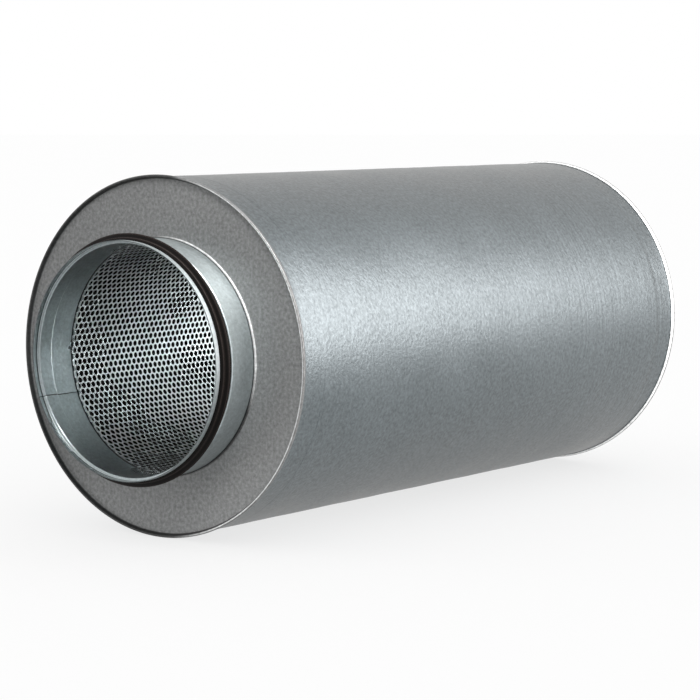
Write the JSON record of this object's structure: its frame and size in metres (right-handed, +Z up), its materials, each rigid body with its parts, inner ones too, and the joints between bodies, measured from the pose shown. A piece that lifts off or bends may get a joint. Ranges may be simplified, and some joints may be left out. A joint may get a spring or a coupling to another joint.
{
  "type": "duct sound attenuator",
  "caption": "Round duct silencer: a sheet casing with end caps, gasketed spigots and a perforated tube in a wool lining that damps noise in a ventilation duct.",
  "frame": {"origin": "middle of the attenuator, on the duct axis", "axes": "+X along the duct axis towards the rear spigot, +Z up"},
  "size_m": [0.7, 0.304, 0.304],
  "materials": {
    "casing_sheet": "matt galvanised sheet with a fine grain",
    "cap_sheet": "matt galvanised sheet",
    "spigot_sheet": "satin galvanised sheet",
    "perforated_sheet": "satin galvanised perforated sheet",
    "gasket_rubber": "matt black rubber",
    "fleece": "black glass fleece",
    "wool": "mineral wool"
  },
  "bodies": {
    "root": {"casing": "casing_sheet", "front_end_cap": "cap_sheet", "rear_end_cap": "cap_sheet", "front_spigot": "spigot_sheet", "rear_spigot": "spigot_sheet", "front_gasket": "gasket_rubber", "rear_gasket": "gasket_rubber", "perforated_tube": "perforated_sheet", "fleece_wrap": "fleece", "wool_lining": "wool"}
  },
  "joints": []
}
